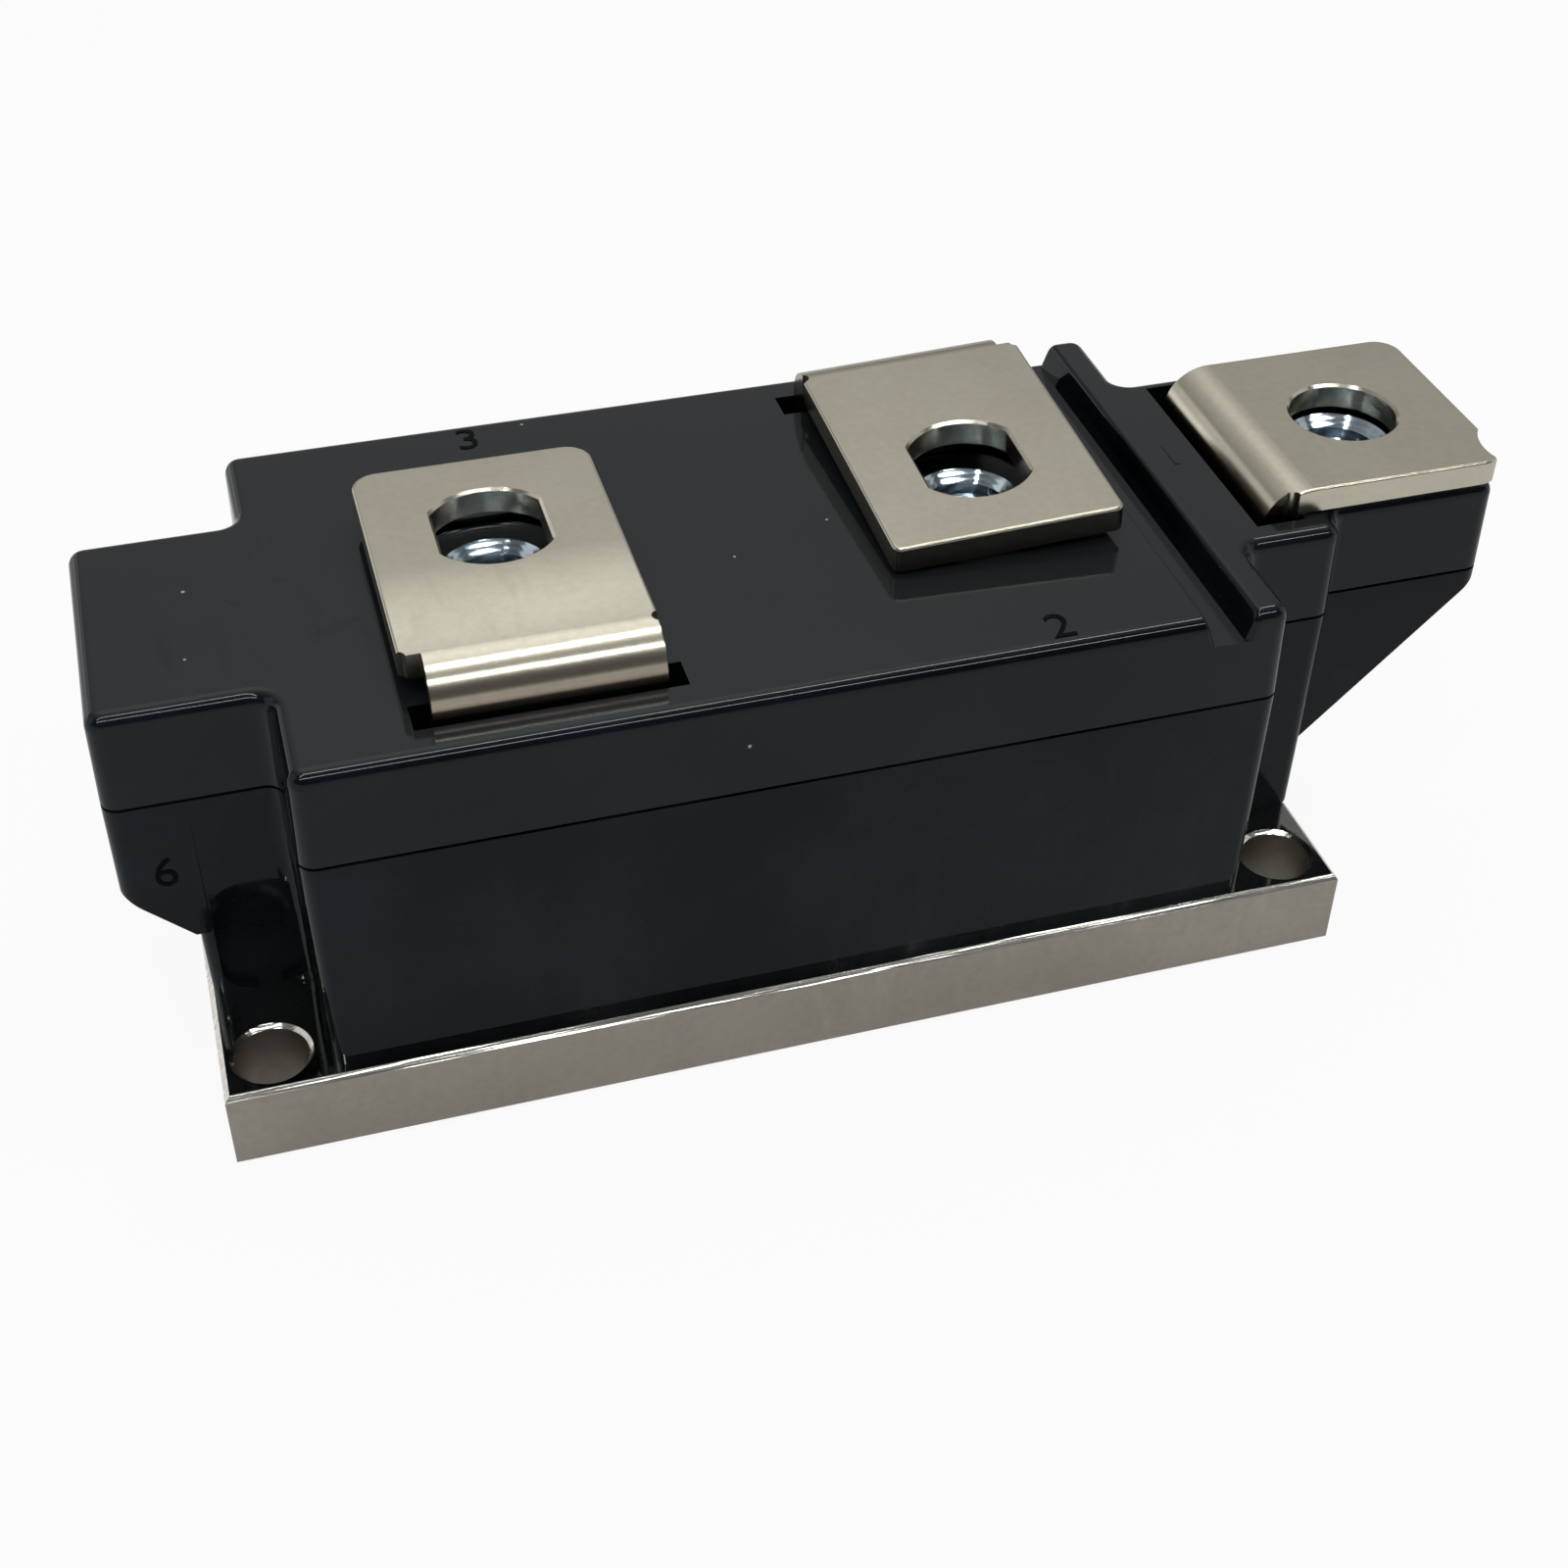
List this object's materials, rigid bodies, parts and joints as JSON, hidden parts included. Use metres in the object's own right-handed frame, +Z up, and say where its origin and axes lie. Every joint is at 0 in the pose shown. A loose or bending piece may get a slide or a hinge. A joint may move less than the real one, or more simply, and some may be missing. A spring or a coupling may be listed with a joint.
{
  "type": "rectifier diode module",
  "caption": "Isolated-base rectifier diode module: black moulded housing on a thick mounting plate, with bent strap terminals over nuts held in its deck.",
  "frame": {"origin": "centre of the base plate's underside, where the module rests on its heat sink", "axes": "+X along the module towards the end with terminal 1, +Y across it away from the bent leg of terminal 3, +Z up out of the deck"},
  "size_m": [0.1073, 0.043, 0.0383],
  "materials": {
    "base_metal": "nickel-plated copper, satin sides and near-mirror top",
    "frame_plastic": "glossy black moulding",
    "cover_plastic": "glossy black moulding",
    "terminal_metal": "nickel-plated copper strap, satin",
    "nut_zinc": "bright zinc",
    "inner_copper": "plain copper",
    "inner_steel": "plain steel",
    "ceramic": "white alumina",
    "silicon": "polished grey silicon",
    "insulator": "natural insulating plastic",
    "seal": "soft dark grey silicone"
  },
  "bodies": {
    "root": {"base_plate": "base_metal", "base_seal": "seal", "housing_cover": "cover_plastic", "housing_frame": "frame_plastic", "left_clamp_plate": "inner_steel", "left_clamp_screws": "inner_steel", "left_diode_chip": "silicon", "left_guard_ring": "insulator", "left_insulating_disc": "ceramic", "left_lower_contact_disc": "inner_copper", "left_lower_spring": "inner_steel", "left_pressure_cap": "inner_steel", "left_screw_sleeves": "insulator", "left_upper_contact_disc": "inner_copper", "left_upper_spring": "inner_steel", "link_busbar": "inner_copper", "nut_1": "nut_zinc", "nut_2": "nut_zinc", "nut_3": "nut_zinc", "right_clamp_plate": "inner_steel", "right_clamp_screws": "inner_steel", "right_diode_chip": "silicon", "right_guard_ring": "insulator", "right_insulating_disc": "ceramic", "right_lower_contact_disc": "inner_copper", "right_lower_spring": "inner_steel", "right_pressure_cap": "inner_steel", "right_screw_sleeves": "insulator", "right_upper_contact_disc": "inner_copper", "right_upper_spring": "inner_steel", "terminal_1": "terminal_metal", "terminal_2": "terminal_metal", "terminal_3": "terminal_metal"}
  },
  "joints": []
}
